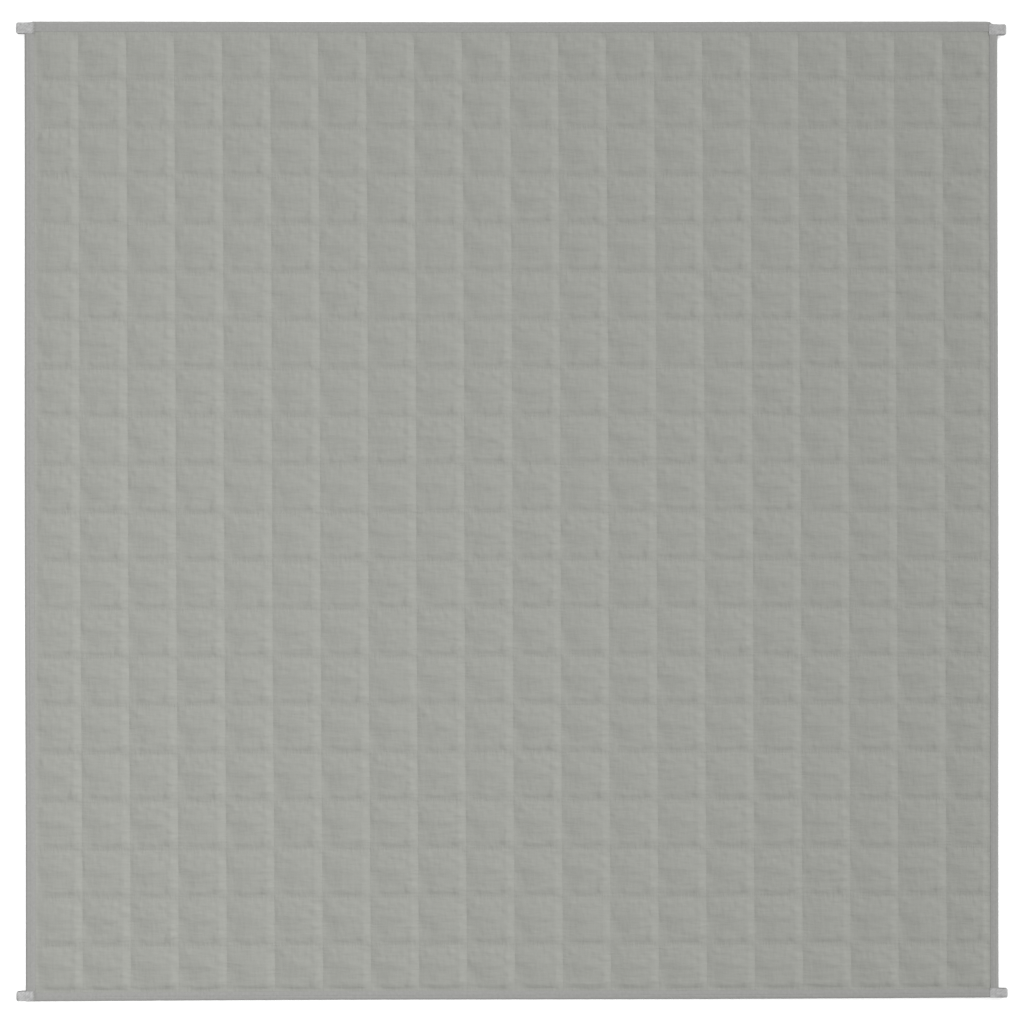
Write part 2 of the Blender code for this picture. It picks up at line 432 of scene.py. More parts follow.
def seam_marks(tree, across, along, phase):
    """What one set of seams does to the cloth beside it: the fine puckers, which run straight away
    from the seam, and the thread of its stitches. Both axes count pockets."""
    distance = add_node(tree, "ShaderNodeMath", {0: across, 1: 0.5}, operation="PINGPONG").outputs[0]
    # Puckers 6 mm apart that die away over 12 mm
    place = add_node(tree, "ShaderNodeCombineXYZ", {"X": along, "Y": across, "Z": phase}).outputs[0]
    stretched = add_node(tree, "ShaderNodeMapping", {"Vector": place, "Scale": (17, 3, 1)})
    waves = add_node(
        tree,
        "ShaderNodeTexNoise",
        {"Vector": stretched.outputs["Vector"], "Scale": 1.0, "Detail": 2.0, "Roughness": 0.6},
    )
    nearness = add_node(
        tree,
        "ShaderNodeMapRange",
        {"Value": distance, "From Min": 0.0, "From Max": 0.15, "To Min": 1.0, "To Max": 0.0},
        interpolation_type="SMOOTHSTEP",
    )
    pucker = add_node(
        tree,
        "ShaderNodeMath",
        {0: waves.outputs["Fac"], 1: nearness.outputs[0]},
        operation="MULTIPLY",
    )
    # Stitches 3.3 mm long, 30 to a pocket, of thread 0.6 mm thick
    length = add_node(tree, "ShaderNodeMath", {0: along, 1: 30.0}, operation="MULTIPLY").outputs[0]
    end = add_node(tree, "ShaderNodeMath", {0: length, 1: 0.5}, operation="PINGPONG").outputs[0]
    thread_length = add_node(
        tree, "ShaderNodeMapRange", {"Value": end, "From Min": 0.08, "From Max": 0.16}
    )
    thread_width = add_node(
        tree,
        "ShaderNodeMapRange",
        {"Value": distance, "From Min": 0.002, "From Max": 0.005, "To Min": 1.0, "To Max": 0.0},
    )
    thread = add_node(
        tree,
        "ShaderNodeMath",
        {0: thread_length.outputs[0], 1: thread_width.outputs[0]},
        operation="MULTIPLY",
    )
    return pucker.outputs[0], thread.outputs[0]


def marks_relief(tree, quilting):
    """The marks of the pockets in millimetres, finer than the body's faces can show them. They shift
    and change their height a little from pocket to pocket."""
    pocket = add_node(tree, "ShaderNodeVectorMath", {0: quilting}, operation="FLOOR").outputs[0]
    chance = add_node(tree, "ShaderNodeTexWhiteNoise", {"Vector": pocket})
    within = add_node(tree, "ShaderNodeVectorMath", {0: quilting}, operation="FRACTION").outputs[0]
    moved = add_node(
        tree,
        "ShaderNodeVectorMath",
        {0: chance.outputs["Color"], 1: (2 * MARK_STRAY, 2 * MARK_STRAY, 0), 2: within},
        operation="MULTIPLY_ADD",
    )
    heights = []
    for right, down, length, width, turn, top in MARKS:
        own = add_node(
            tree,
            "ShaderNodeMapping",
            {
                "Vector": moved.outputs[0],
                "Location": (right + MARK_STRAY, 1 + MARK_STRAY - down, 0),
                "Rotation": (0, 0, math.radians(turn)),
                "Scale": (length, width, 1),
            },
            vector_type="TEXTURE",
        )
        spot = add_node(
            tree, "ShaderNodeTexGradient", {"Vector": own.outputs[0]}, gradient_type="SPHERICAL"
        )
        rounded = add_node(
            tree,
            "ShaderNodeMapRange",
            {"Value": spot.outputs["Fac"], "To Max": 1000 * top},
            interpolation_type="SMOOTHSTEP",
        )
        heights.append((rounded.outputs[0], 1.0))
    strength = add_node(
        tree, "ShaderNodeMapRange", {"Value": chance.outputs["Value"], "To Min": 0.6, "To Max": 1.4}
    )
    total = weigh(tree, *heights)
    varied = add_node(
        tree, "ShaderNodeMath", {0: total, 1: strength.outputs[0]}, operation="MULTIPLY"
    )
    return varied.outputs[0]


def woven_cotton(colour):
    """Plain-woven cotton and linen: dull, with thick and thin yarns that run across it as faint
    streaks, a soft mottle where it is crumpled, partly painted shade in the hollows of its creases,
    fine puckers and stitches at its seams, and a little fuzz."""
    material, tree, shader = start_material("woven_cotton")
    base = linear(colour)
    place = add_node(tree, "ShaderNodeTexCoord").outputs["Object"]
    quilting = add_node(tree, "ShaderNodeAttribute", attribute_name="pocket_place")
    pocket = add_node(tree, "ShaderNodeSeparateXYZ", {"Vector": quilting.outputs["Vector"]})
    upright = seam_marks(tree, pocket.outputs["X"], pocket.outputs["Y"], 0.0)
    level = seam_marks(tree, pocket.outputs["Y"], pocket.outputs["X"], 5.0)
    marks = marks_relief(tree, quilting.outputs["Vector"])

    # Thick and thin yarns are 0.4 to 1 mm; they are drawn 4 mm thick and 25 mm long, to show
    weft = yarn_noise(tree, place, (0.025, 0.0042), 2.0)
    warp = yarn_noise(tree, place, (0.0045, 0.012), 2.0)
    # The cloth creases a thumb's width apart, along its weft and its warp, and is slack in places
    creased_across = yarn_noise(tree, place, (0.040, 0.009), 2.0)
    creased_along = yarn_noise(tree, place, (0.009, 0.034), 1.5)
    slack = yarn_noise(tree, place, (0.045, 0.030), 1.0)
    # The tone is partly random and partly painted shade: the crease and slack noises that dent the
    # cloth in the bump below also make its colour darker where they dent it
    tone = weigh(
        tree, (weft, 0.40), (warp, 0.12), (creased_across, 0.18), (creased_along, 0.14), (slack, 0.16)
    )
    spread = add_node(tree, "ShaderNodeMapRange", {"Value": tone, "From Min": 0.30, "From Max": 0.70})
    threads = add_node(tree, "ShaderNodeMath", {0: upright[1], 1: level[1]}, operation="MAXIMUM")
    cloth = add_node(
        tree,
        "ShaderNodeMix",
        {0: spread.outputs[0], 6: shade_of(base, 0.95), 7: shade_of(base, 1.05)},
        data_type="RGBA",
    )
    # The thread of the level seams lies deep and doesn't show
    sewn = add_node(
        tree,
        "ShaderNodeMix",
        {0: upright[1], 6: cloth.outputs[2], 7: shade_of(base, 0.92)},
        data_type="RGBA",
    )
    # Yarns of 0.5 mm, drawn 1.2 mm apart
    across = add_node(
        tree,
        "ShaderNodeTexWave",
        {"Vector": place, "Scale": 262.0, "Distortion": 0.6, "Detail": 0.0},
        bands_direction="X",
    )
    along = add_node(
        tree,
        "ShaderNodeTexWave",
        {"Vector": place, "Scale": 262.0, "Distortion": 0.6, "Detail": 0.0},
        bands_direction="Y",
    )
    # Heights in millimetres
    height = weigh(
        tree,
        (across.outputs["Fac"], 0.04),
        (along.outputs["Fac"], 0.04),
        (weft, 0.18),
        (creased_across, 0.95),
        (creased_along, 0.80),
        (slack, 1.7),
        (upright[0], 0.8),
        (level[0], 1.0),
        (threads.outputs[0], 0.2),
        (marks, 0.7),
    )
    bump = add_node(tree, "ShaderNodeBump", {"Height": height, "Strength": 1.0, "Distance": 0.001})
    tree.links.new(sewn.outputs[2], shader.inputs["Base Color"])
    tree.links.new(bump.outputs["Normal"], shader.inputs["Normal"])
    shader.inputs["Roughness"].default_value = 0.92
    shader.inputs["Sheen Weight"].default_value = 0.08
    shader.inputs["Sheen Roughness"].default_value = 0.5
    shader.inputs["Specular IOR Level"].default_value = 0.2
    return material


def woven_tape(name, colour, sewn_colour, rib, contrast, diagonal):
    """Cotton tape: denser and smoother than the cloth, with ribs straight across it on a binding
    and diagonal ones on twill. rib is the distance between ribs in metres, coarser than the real
    0.8 mm so that they show. Its colour is painted darker where it lies low, as painted shade where
    it turns over the rim and, on a loop, down to the floor and along it, and it has the sewn colour
    where a left loop is sewn on. contrast sets both that painted shade and the spread of its tone."""
    material, tree, shader = start_material(name)
    place = add_node(tree, "ShaderNodeTexCoord").outputs["Object"]
    turned = add_node(
        tree,
        "ShaderNodeMapping",
        {"Vector": place, "Rotation": (0, 0, math.radians(45 if diagonal else 0))},
    )
    ribs = add_node(
        tree,
        "ShaderNodeTexWave",
        {
            "Vector": turned.outputs["Vector"],
            "Scale": WAVE_PERIOD / rib,
            "Distortion": 0.8,
            "Detail": 1.0,
        },
        bands_direction="X",
    )
    mottle = add_node(
        tree,
        "ShaderNodeTexNoise",
        {"Vector": place, "Scale": 160.0, "Detail": 3.0, "Roughness": 0.6},
    )
    tone = add_node(
        tree,
        "ShaderNodeMath",
        {0: ribs.outputs["Fac"], 1: 0.15, 2: mottle.outputs["Fac"]},
        operation="MULTIPLY_ADD",
    )
    # Painted shade: the colour darkens by up to contrast where the tape lies low, at its fold over
    # the rim and at a loop's turn down to the floor
    axes = add_node(tree, "ShaderNodeSeparateXYZ", {"Vector": place})
    low = add_node(
        tree,
        "ShaderNodeMapRange",
        {
            "Value": axes.outputs["Z"],
            "From Min": PAINTED_SHADE_BELOW,
            "From Max": UNSHADED_ABOVE,
            "To Min": 1 - contrast,
            "To Max": 1.0,
        },
    )
    spread = add_node(
        tree,
        "ShaderNodeMapRange",
        {
            "Value": tone.outputs[0],
            "From Min": 0.35,
            "From Max": 1.0,
            "To Min": 1 - contrast / 2,
            "To Max": 1 + contrast / 2,
        },
    )
    # The painted shade times the random tone of the ribs and the mottle
    painted_shade_and_tone = add_node(
        tree, "ShaderNodeMath", {0: low.outputs[0], 1: spread.outputs[0]}, operation="MULTIPLY"
    )
    aside = add_node(tree, "ShaderNodeMath", {0: axes.outputs["X"], 1: SEWN_AT}, operation="ADD")
    inside = add_node(tree, "ShaderNodeMath", {0: aside.outputs[0]}, operation="ABSOLUTE")
    sewn = add_node(
        tree,
        "ShaderNodeMapRange",
        {"Value": inside.outputs[0], "From Min": SEWN_REACH[0], "From Max": SEWN_REACH[1]},
        interpolation_type="SMOOTHSTEP",
    )
    dyed = add_node(
        tree,
        "ShaderNodeMix",
        {0: sewn.outputs[0], 6: linear(colour), 7: linear(sewn_colour)},
        data_type="RGBA",
    )
    mixed = add_node(
        tree,
        "ShaderNodeVectorMath",
        {0: dyed.outputs[2], "Scale": painted_shade_and_tone.outputs[0]},
        operation="SCALE",
    )
    bump = add_node(
        tree,
        "ShaderNodeBump",
        {"Height": tone.outputs[0], "Strength": 1.0, "Distance": 0.0006 if diagonal else 0.0004},
    )
    tree.links.new(mixed.outputs[0], shader.inputs["Base Color"])
    tree.links.new(bump.outputs["Normal"], shader.inputs["Normal"])
    shader.inputs["Roughness"].default_value = 0.85
    shader.inputs["Sheen Weight"].default_value = 0.05
    shader.inputs["Sheen Roughness"].default_value = 0.5
    shader.inputs["Specular IOR Level"].default_value = 0.25
    return material


def matt_paper(colour):
    """The studio's paper floor: white, matt and even. It glows a little, as on a light table, which
    keeps shadows off it."""
    material, tree, shader = start_material("matt_paper")
    place = add_node(tree, "ShaderNodeTexCoord").outputs["Object"]
    grain = add_node(
        tree, "ShaderNodeTexNoise", {"Vector": place, "Scale": 900.0, "Detail": 2.0}
    )
    mixed = add_node(
        tree,
        "ShaderNodeMix",
        {0: grain.outputs["Fac"], 6: shade_of(linear(colour), 0.995), 7: linear(colour)},
        data_type="RGBA",
    )
    tree.links.new(mixed.outputs[2], shader.inputs["Base Color"])
    shader.inputs["Roughness"].default_value = 0.95
    shader.inputs["Emission Strength"].default_value = 0.20
    shader.inputs["Specular IOR Level"].default_value = 0.1
    return material


def finish_piece(piece, material, node):
    """Gives the piece its material and its place in the frame."""
    piece.data.materials.clear()
    piece.data.materials.append(material)
    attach(piece, "root")
    if node:
        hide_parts(node)


# --- the quilted body ------------------------------------------------------------------------


def pocket_lines(pitch, half, low_binding, high_binding, shift=0.0):
    """The lines that bound the pockets, from one binding's edge to the other's."""
    seams = [(k - POCKETS / 2) * pitch + shift for k in range(1, POCKETS)]
    return np.array([-half + low_binding, *seams, half - high_binding])


def divided(lines, half, steps):
    """All lines of a sheet: the rim, the pockets' own lines divided at the steps, and the rim."""
    inner = [a + (b - a) * share for a, b in zip(lines, lines[1:]) for share in steps]
    low = [-half + RIM_IN, lines[0] - TUCK]
    high = [lines[-1], lines[-1] + TUCK, half - RIM_IN]
    return np.array([*low, *inner, *high])


def lay_out(sheet, columns, rows):
    """Moves a grid's points to the given columns and rows of the flat pattern."""
    points = points_of(sheet)
    column = np.rint((points[:, 0] + 1) / 2 * (len(columns) - 1)).astype(int)
    row = np.rint((points[:, 1] + 1) / 2 * (len(rows) - 1)).astype(int)
    points[:, 0] = columns[column]
    points[:, 1] = rows[row]
    return points, column, row


def in_pocket(points, x_lines, y_lines):
    """The column and row of the pocket that each point lies in, and its place there from 0 to 1,
    rightwards from the left seam and down from the upper one."""
    x = np.clip(points[:, 0], x_lines[0], x_lines[-1])
    y = np.clip(points[:, 1], y_lines[0], y_lines[-1])
    column = np.clip(np.searchsorted(x_lines, x, side="right") - 1, 0, POCKETS - 1)
    row = np.clip(np.searchsorted(y_lines, y, side="right") - 1, 0, POCKETS - 1)
    right = (x - x_lines[column]) / (x_lines[column + 1] - x_lines[column])
    down = 1 - (y - y_lines[row]) / (y_lines[row + 1] - y_lines[row])
    return column, row, right, down


def blow_up(sheet, held, slack):
    """Cloth simulation: the sheet, held along its seams and a little slack, is blown up."""
    pins = sheet.vertex_groups.new(name="seams")
    pins.add([int(i) for i in np.flatnonzero(held)], 1.0, "REPLACE")
    cloth = sheet.modifiers.new("cloth", "CLOTH")
    settings = cloth.settings
    settings.vertex_group_mass = pins.name
    settings.quality = 5
    settings.mass = 0.15
    settings.tension_stiffness = 30
    settings.compression_stiffness = 30
    settings.shear_stiffness = 5
    settings.bending_stiffness = 15
    settings.shrink_min = -slack
    settings.use_pressure = True
    settings.uniform_pressure_force = 3
    settings.effector_weights.gravity = 0
    cloth.collision_settings.use_collision = False
    for number in range(1, CLOTH_STEPS + 1):
        bpy.context.scene.frame_set(number)
    apply_modifier(sheet, cloth)
    bpy.context.scene.frame_set(1)
    sheet.vertex_groups.clear()


def crease_seams(sheet, columns, rows):
    """Marks every edge that lies on a seam, so that subdivision keeps the valley sharp."""
    mesh = sheet.data
    crease = mesh.attributes.new("crease_edge", "FLOAT", "EDGE")
    points = points_of(sheet)
    ends = np.empty(len(mesh.edges) * 2, int)
    mesh.edges.foreach_get("vertices", ends)
    ends = ends.reshape(-1, 2)
    values = np.zeros(len(mesh.edges), np.float32)
    for axis, lines in ((0, columns), (1, rows)):
        near = np.abs(points[:, axis][:, None] - lines[None, :]) < 1e-6
        values[(near[ends[:, 0]] & near[ends[:, 1]]).any(1)] = 1.0
    crease.data.foreach_set("value", values)


def ramp(distance, reach, roundness):
    """A straight rise over the reach that rounds off to a level 1."""
    share = distance / reach
    return share / (1 + share**roundness) ** (1 / roundness)


def pillow(right, down, row_depth):
    """The height of a filled pocket, from 0 to about 1. The fill has settled to the right and to the
    foot, so the cloth rises slowly from the left and from the head, and falls steeply elsewhere."""
    left = 0.28 * smooth_step(right, -0.02, 0.09) + 0.18 * smooth_step(right, 0.21, 0.37)
    left = left + 0.54 * ramp(np.maximum(right - 0.04, 0), 0.43, 5)
    steep = 0.80 * smooth_step(1 - right, 0.0, 0.165) + 0.20 * smooth_step(1 - right, 0.16, 0.5)
    head = 0.10 * smooth_step(down, 0.02, 0.14) + 0.90 * ramp(np.maximum(down - 0.02, 0), 0.40, 5)
    foot = 0.72 * smooth_step(1 - down, 0.02, 0.145) + 0.28 * smooth_step(1 - down, 0.1, 0.6)
    return left * steep * (1 - row_depth + row_depth * head * foot)


def marked_cloth(column, row, right, down):
    """The gathers, the soft folds and the crease of the pockets, each pocket's own."""
    chance = np.random.default_rng(20).normal(size=(len(MARKS) + 1, 2, POCKETS, POCKETS))
    chance = np.clip(chance, -2, 2)[:, :, column, row]
    height = np.zeros(len(right))
    for (at_right, at_down, length, width, turn, top), (stray, more) in zip(MARKS, chance):
        cos, sin = math.cos(math.radians(turn)), math.sin(math.radians(turn))
        x = right - at_right - MARK_STRAY * stray
        y = down - at_down - MARK_STRAY_DOWN * more
        away = np.hypot((x * cos - y * sin) / length, (x * sin + y * cos) / width)
        height += top * (1 + 0.25 * more) * smooth_step(1 - away, 0, 1)
    stray, more = chance[-1]
    crease = smooth_step(down, 0.38 + MARK_STRAY * stray, 0.58 + MARK_STRAY * stray)
    crease = crease * smooth_step(1 - down, 0.02, 0.3)
    height -= CREASE_DEPTH * (1 + 0.3 * more) * crease * np.exp(-(((right - 0.08) / 0.30) ** 2))
    edge = np.minimum(np.minimum(right, 1 - right), np.minimum(down, 1 - down))
    return height * smooth_step(edge, 0, 0.06)


def sculpt_pockets(column, row, right, down, cloth):
    """The height of the sewn, filled and used cloth at each point of its pocket."""
    height = cloth.crown * pillow(right, down, cloth.row_depth)
    wave = np.sin(2.4 * column + 1.1 * row) * np.sin(1.3 * row - 0.7 * column + 0.5)
    height *= 1 - cloth.uneven * (0.5 - 0.5 * wave)
    return height + cloth.puckers * marked_cloth(column, row, right, down)


def sheet_lines(x_steps, y_steps):
    """The pockets' lines, and all the lines of a sheet of cloth that is divided at the steps."""
    x_lines = pocket_lines(
        POCKET_WIDTH, WIDTH / 2, BINDING_WIDTH["left"], BINDING_WIDTH["right"], COLUMN_SHIFT
    )
    y_lines = pocket_lines(
        POCKET_LENGTH, LENGTH / 2, BINDING_WIDTH["bottom"], BINDING_WIDTH["top"], -ROW_DROP
    )
    columns = divided(x_lines, WIDTH / 2, x_steps)
    rows = divided(y_lines, LENGTH / 2, y_steps)
    return x_lines, y_lines, columns, rows


def name_pockets(sheet, column, row, right, down):
    """Stores where in the quilting each point lies, for the stitches, puckers and marks of the
    material."""
    place = sheet.data.attributes.new("pocket_place", "FLOAT_VECTOR", "POINT")
    values = np.column_stack([column + right, row + 1 - down, np.zeros(len(right))])
    place.data.foreach_set("vector", values.astype(np.float32).ravel())


def tuck_under(points, height, x_lines, y_lines):
    """The height of the face cloth where it also goes down to its bindings and in under them."""
    past_x = np.maximum(x_lines[0] - points[:, 0], points[:, 0] - x_lines[-1])
    past_y = np.maximum(y_lines[0] - points[:, 1], points[:, 1] - y_lines[-1])
    past = np.maximum(past_x, past_y)
    lift = LIFT * smooth_step(-np.minimum(past_x, past_y), *LIFT_FROM)
    height = height * smooth_step(-past, 0.0, SLOPE)
    height += lift * np.interp(past, (-LIFT_REACH, 0.0, TUCK / 2), (0.0, 1.0, 0.0))
    return height - TUCK_DOWN * np.interp(past, (0.0, TUCK), (0.0, 1.0))


def body_face(cloth):
    """The face cloth: blown up, subdivided, and worked over pocket by pocket."""
    x_lines, y_lines, columns, rows = sheet_lines(COLUMN_STEPS, ROW_STEPS)
    face = grid("quilted_body_cloth", len(columns) - 1, len(rows) - 1)
    points, column, row = lay_out(face, columns, rows)
    on_column_seam = np.isin(columns, x_lines)[column] | (column < 1) | (column > len(columns) - 2)
    on_row_seam = np.isin(rows, y_lines)[row] | (row < 1) | (row > len(rows) - 2)
    _, _, right, down = in_pocket(points, x_lines, y_lines)
    first = cloth.crown * pillow(right, down, cloth.row_depth)
    points[:, 2] = first + ROUGHNESS * np.random.default_rng(3).random(len(points))
    move_points(face, points)
    blow_up(face, on_column_seam | on_row_seam, cloth.slack)
    swell = points_of(face)[:, 2] - points[:, 2]
    points[:, 2] = cloth.swell * np.tanh(swell / cloth.swell)
    move_points(face, points)
    crease_seams(face, x_lines, y_lines)
    finer = face.modifiers.new("finer", "SUBSURF")
    finer.levels = finer.render_levels = 1
    finer.boundary_smooth = "PRESERVE_CORNERS"
    apply_modifier(face, finer)

    points = points_of(face)
    column, row, right, down = in_pocket(points, x_lines, y_lines)
    name_pockets(face, column, row, right, down)
    height = points[:, 2] + sculpt_pockets(column, row, right, down, cloth)
    # A pocket holds only so much fill
    height = height / (1 + np.abs(height / FULL_HEIGHT) ** 6) ** (1 / 6)
    points[:, 2] = SEAM_HIGH + tuck_under(points, height, x_lines, y_lines)
    points[:, 0], points[:, 1] = lie(points[:, 0], points[:, 1])
    move_points(face, points)
    return face


def body_back():
    """The back cloth: a flat sole under each pocket and a shallow channel along each seam."""
    x_lines, y_lines, columns, rows = sheet_lines(BACK_STEPS, BACK_STEPS)
    back = grid("quilted_body_back", len(columns) - 1, len(rows) - 1)
    points, _, _ = lay_out(back, columns, rows)
    column, row, right, down = in_pocket(points, x_lines, y_lines)
    name_pockets(back, column, row, right, down)
    edge = np.minimum(np.minimum(right, 1 - right), np.minimum(down, 1 - down))
    points[:, 2] = SEAM_LOW * np.interp(edge, (0.0, 0.05, 0.13), (1.0, 0.30, 0.0))
    points[:, 0], points[:, 1] = lie(points[:, 0], points[:, 1])
    move_points(back, points)
    return back


def close_body(face, back):
    """Joins face and back along their rims to one closed, filled body."""
    select_only(face)
    back.select_set(True)
    bpy.ops.object.join()
    bpy.ops.object.mode_set(mode="EDIT")
    bpy.ops.mesh.select_mode(type="EDGE")
    bpy.ops.mesh.select_all(action="DESELECT")
    bpy.ops.mesh.select_non_manifold(
        extend=False, use_wire=False, use_boundary=True, use_multi_face=False,
        use_non_contiguous=False, use_verts=False,
    )
    bpy.ops.mesh.bridge_edge_loops()
    face_outwards()
    return face


def sharpen_seams(body):
    """The two sides of a level or upright seam meet at a crease, and aren't shaded as one curve."""
    mesh = body.data
    crease = mesh.attributes.get("crease_edge")
    values = np.zeros(len(mesh.edges), np.float32)
    crease.data.foreach_get("value", values)
    mesh.attributes.remove(crease)
    sharp = mesh.attributes.new("sharp_edge", "BOOLEAN", "EDGE")
    sharp.data.foreach_set("value", values > 0.5)


class BLANKET_OT_quilt_body(bpy.types.Operator):
    """Quilts and fills the body"""

    bl_idname = "blanket.quilt_body"
    bl_label = "Quilt the Body"

    def execute(self, context):
        cloth = context.scene.blanket_cloth
        body = close_body(body_face(cloth), body_back())
        body.name = body.data.name = "quilted_body_cloth"
        body.data.shade_smooth()
        sharpen_seams(body)
        finish_piece(body, woven_cotton(cloth.colour), "quilted_body")
        return {"FINISHED"}


# --- tapes -----------------------------------------------------------------------------------


def lay_tape(name, path, stations, place, thickness):
    """A tape: a flat strip whose points are laid on the path (points across the folded tape) at
    each station along its length, then given the tape's thickness."""
    tape = grid(name, stations, len(path) - 1)
    points = points_of(tape)
    along = (points[:, 0] + 1) / 2
    across = np.rint((points[:, 1] + 1) / 2 * (len(path) - 1)).astype(int)
    path = np.array(path)
    x, y, z = place(along, path[across, 0], path[across, 1])
    move_points(tape, np.column_stack([x, y, z]))
    solid = tape.modifiers.new("thickness", "SOLIDIFY")
    solid.thickness = thickness
    solid.offset = 0.0
    solid.use_even_offset = True
    apply_modifier(tape, solid)
    bpy.ops.object.mode_set(mode="EDIT")
    face_outwards()
    bpy.ops.object.shade_smooth_by_angle(angle=math.radians(50))
    return tape


def path_length(path):
    """The length of a path of points."""
    steps = np.diff(np.array(path), axis=0)
    return float(np.hypot(steps[:, 0], steps[:, 1]).sum())


def half_turn(centre, radius, steps):
    """Points (out, up) of a half circle, from its top to its bottom."""
    angles = [math.pi / 2 - math.pi * i / steps for i in range(steps + 1)]
    return [(centre[0] + radius * math.cos(a), centre[1] + radius * math.sin(a)) for a in angles]


def binding_path(side, arch):
    """(inwards from the outline, height) of a binding: its crowned upper layer with the groove of its
    stitches, the fold round the rim and its lower layer."""
    width = BINDING_WIDTH[side]
    inner = width - GAP / 2
    crest = CREST * width
    level = SEAM_MIDDLE + FOLD_RADIUS
    low = SEAM_HIGH + TAPE_THICKNESS / 2 + EDGE_CLEAR

    def upper(inwards):
        past = max(0.0, (inwards - crest) / (inner - crest))
        before = max(0.0, (crest - inwards) / (crest - FOLD_REACH))
        groove = GROOVE_DEPTH * math.exp(-(((inwards - GROOVE_IN) / GROOVE_WIDTH) ** 2))
        return level + arch * (1 - before**2) - (level + arch - low) * past**2 - groove

    places = np.linspace(inner, FOLD_REACH, 22, endpoint=False)
    path = [(inwards, upper(inwards)) for inwards in places]
    rise = upper(FOLD_REACH) - SEAM_MIDDLE
    for out, up in half_turn((0, 0), 1, 12):
        path.append((FOLD_REACH - out * FOLD_REACH, SEAM_MIDDLE + up * rise))
    foot = SEAM_MIDDLE - rise
    path += [(FOLD_REACH + (inner - FOLD_REACH) * share, foot) for share in (0.33, 0.66, 1.0)]
    return path


def edge_place(side, run, inwards):
    """Where a point of an edge lies: run along it, and inwards from the outline."""
    sign = 1 if side in ("right", "top") else -1
    if side in ("left", "right"):
        return lie(sign * (WIDTH / 2 - inwards), run)
    return lie(run, sign * (LENGTH / 2 - inwards))


def edge_ends(side):
    """Where a binding starts and ends. Head and foot bindings end at the side bindings."""
    if side in ("left", "right"):
        return -LENGTH / 2, LENGTH / 2
    gap = GAP / 6
    return -WIDTH / 2 + BINDING_WIDTH["left"] - gap, WIDTH / 2 - BINDING_WIDTH["right"] + gap


def pressed_ends(side):
    """How far from the start and from the end of its run a binding is pressed flat by the loops."""
    if side in ("top", "bottom"):
        return PRESSED_END, PRESSED_END
    loops = [LOOPS[end + "_" + side] for end in ("bottom", "top")]
    return [loop["setback"] + loop["width"] + PRESSED_MORE for loop in loops]


def bind_edge(side, arch):
    """The folded binding of one edge."""
    start, end = edge_ends(side)
    path = binding_path(side, arch)
    phase = {"left": 0.0, "right": 1.7, "top": 3.1, "bottom": 4.6}[side]
    start_pressed, end_pressed = pressed_ends(side)

    def place(along, inwards, up):
        run = start + (end - start) * along
        # At a corner it is flat and pressed down by the loop
        from_corner = np.minimum(run - start - start_pressed, end - run - end_pressed)
        corner = 1 - smooth_step(from_corner, 0.0, PRESSED_EASE)
        level = SEAM_MIDDLE + FOLD_RADIUS
        flat = (up > SEAM_MIDDLE) & (inwards > FOLD_REACH)
        up = np.where(flat, up + (level - up) * corner, up)
        kept = np.where(up > SEAM_MIDDLE, 1 - (1 - PRESSED) * corner, 1)
        up = SEAM_MIDDLE + (up - SEAM_MIDDLE) * kept
        # Its sewn edge stays straight
        loose = smooth_step(BINDING_WIDTH[side] - inwards, 0.0, LOOSE)
        upper = smooth_step(up, SEAM_MIDDLE, SEAM_HIGH) * (1 - corner)
        up = up + RIPPLE_UP * ripple(run, phase) * upper * loose
        inwards = inwards + RIPPLE_IN * ripple(run, phase + 2) * loose
        return *edge_place(side, run, inwards), up

    tape = lay_tape("binding_tape_" + side, path, BINDING_STATIONS, place, TAPE_THICKNESS)
    return tape, (path_length(path), end - start)


class BLANKET_OT_bind_edges(bpy.types.Operator):
    """Wraps the four edges in folded tape"""

    bl_idname = "blanket.bind_edges"
    bl_label = "Bind the Edges"

    def execute(self, context):
        tapes = context.scene.blanket_tapes
        colour = tapes.binding_colour
        material = woven_tape("woven_binding_tape", colour, colour, 0.0030, 0.18, False)
        for side in BINDING_WIDTH:
            tape, flat = bind_edge(side, tapes.arch)
            finish_piece(tape, material, "binding_" + side)
        return {"FINISHED"}


def loop_path(seat, reach):
    """(out from the side edge, height) of a corner loop's tape, from its upper end to its lower:
    sewn over the binding, down to the fold and back along the floor."""
    high = SEAM_MIDDLE + PRESSED * FOLD_RADIUS + (TAPE_THICKNESS + LOOP_THICKNESS) / 2 + LOOP_CLEAR
    low = LOOP_THICKNESS / 2
    radius = EYE_RADIUS + (TAPE - LOOP_THICKNESS) / 2
    centre = reach - radius - LOOP_THICKNESS / 2
    crest = low + 2 * radius
    path = [(-seat + seat * share, high) for share in (0.0, 0.05, 0.2, 0.4, 0.6, 0.8)]
    for i in range(8):
        share = i / 8
        path.append((centre * share, high + (crest - high) * share * share * (3 - 2 * share)))
    path += half_turn((centre, low + radius), radius, 10)
    path += [(centre * share, low) for share in (0.75, 0.5, 0.25, 0.0)]
    path += [(-seat * share, low) for share in (0.25, 0.5, 0.75, 1.0)]
    return path


